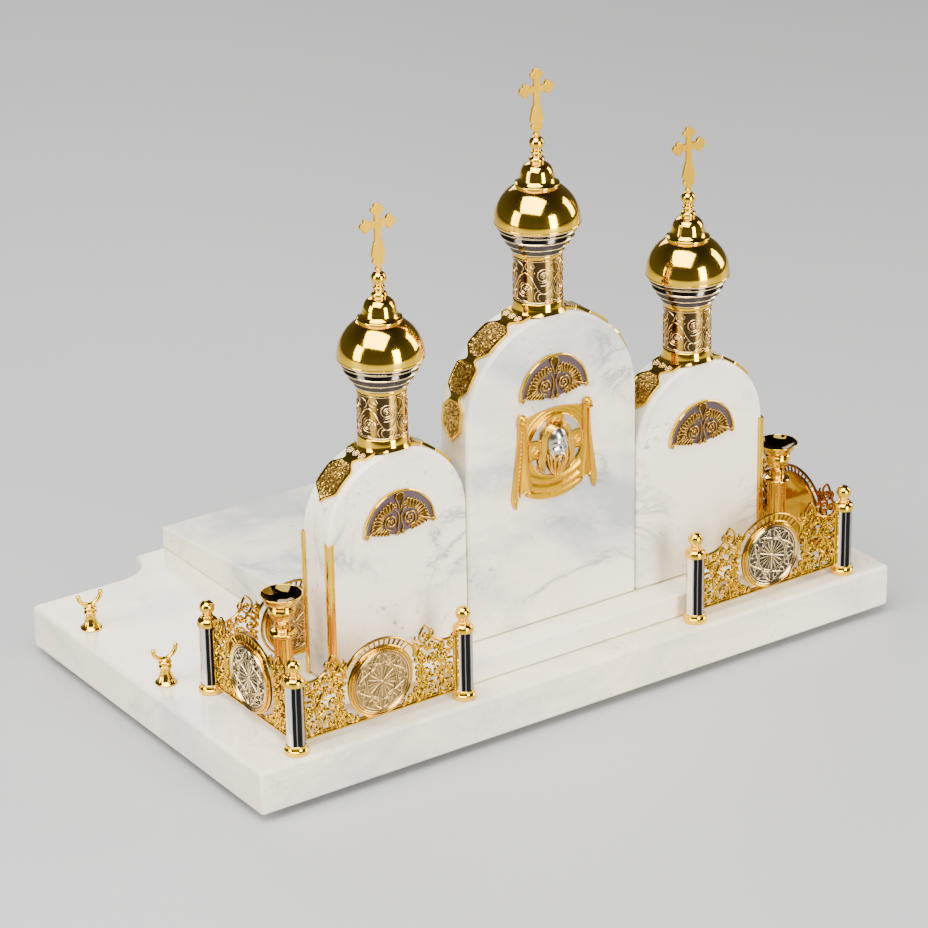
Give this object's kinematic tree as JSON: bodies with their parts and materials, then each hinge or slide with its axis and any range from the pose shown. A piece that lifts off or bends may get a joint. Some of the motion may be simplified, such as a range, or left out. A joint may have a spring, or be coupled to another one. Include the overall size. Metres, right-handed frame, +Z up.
{
  "type": "domed church desk piece",
  "caption": "Marble church-front desk piece with gilt onion domes, filigree fences, candle cups, pen rests and a sloping rear slab.",
  "frame": {"origin": "middle of the footprint at table level", "axes": "+X along the long front edge, -Y towards the side with the icon, +Z up"},
  "size_m": [0.5, 0.3186, 0.4219],
  "materials": {
    "marble": "polished",
    "plinth_rubber": "matte",
    "polished_gold": "polished",
    "band_gold": "polished",
    "cross_gold": "satin",
    "engraved_gold": "satin",
    "dark_nickel": "polished",
    "rod_steel": "satin",
    "lunette_plate": "satin",
    "icon_gold": "polished",
    "icon_head_gold": "polished",
    "post_chrome": "polished",
    "fence_gold": "polished",
    "medallion_gold": "satin",
    "strip_gold": "polished",
    "candle_gold": "polished",
    "rest_gold": "polished"
  },
  "bodies": {
    "root": {"base_plinth": "plinth_rubber", "base_slab": "marble", "centre_arch": "marble", "centre_arch_band": "band_gold", "centre_cross": "cross_gold", "centre_crown": "polished_gold", "centre_cupola_rod": "rod_steel", "centre_dome": "polished_gold", "centre_dome_collar": "dark_nickel", "centre_drum": "engraved_gold", "centre_lunette": "lunette_plate", "front_pen_rest": "rest_gold", "front_step": "marble", "icon_cloth": "icon_gold", "icon_head": "icon_head_gold", "left_arch": "marble", "left_arch_band": "band_gold", "left_candle_cup": "candle_gold", "left_candle_stem": "candle_gold", "left_corner_post": "post_chrome", "left_cross": "cross_gold", "left_crown": "polished_gold", "left_cupola_rod": "rod_steel", "left_dome": "polished_gold", "left_dome_collar": "dark_nickel", "left_drum": "engraved_gold", "left_front_medallion": "medallion_gold", "left_front_panel": "fence_gold", "left_front_strip": "strip_gold", "left_inner_post": "post_chrome", "left_lunette": "lunette_plate", "left_rear_panel": "fence_gold", "left_rear_post": "post_chrome", "left_rear_strip": "strip_gold", "left_side_medallion": "medallion_gold", "left_side_panel": "fence_gold", "rear_pen_rest": "rest_gold", "rear_slope_slab": "marble", "right_arch": "marble", "right_arch_band": "band_gold", "right_candle_cup": "candle_gold", "right_candle_stem": "candle_gold", "right_corner_post": "post_chrome", "right_cross": "cross_gold", "right_crown": "polished_gold", "right_cupola_rod": "rod_steel", "right_dome": "polished_gold", "right_dome_collar": "dark_nickel", "right_drum": "engraved_gold", "right_front_medallion": "medallion_gold", "right_front_panel": "fence_gold", "right_front_strip": "strip_gold", "right_inner_post": "post_chrome", "right_lunette": "lunette_plate", "right_rear_panel": "fence_gold", "right_rear_post": "post_chrome", "right_rear_strip": "strip_gold", "right_side_medallion": "medallion_gold", "right_side_panel": "fence_gold"}
  },
  "joints": []
}
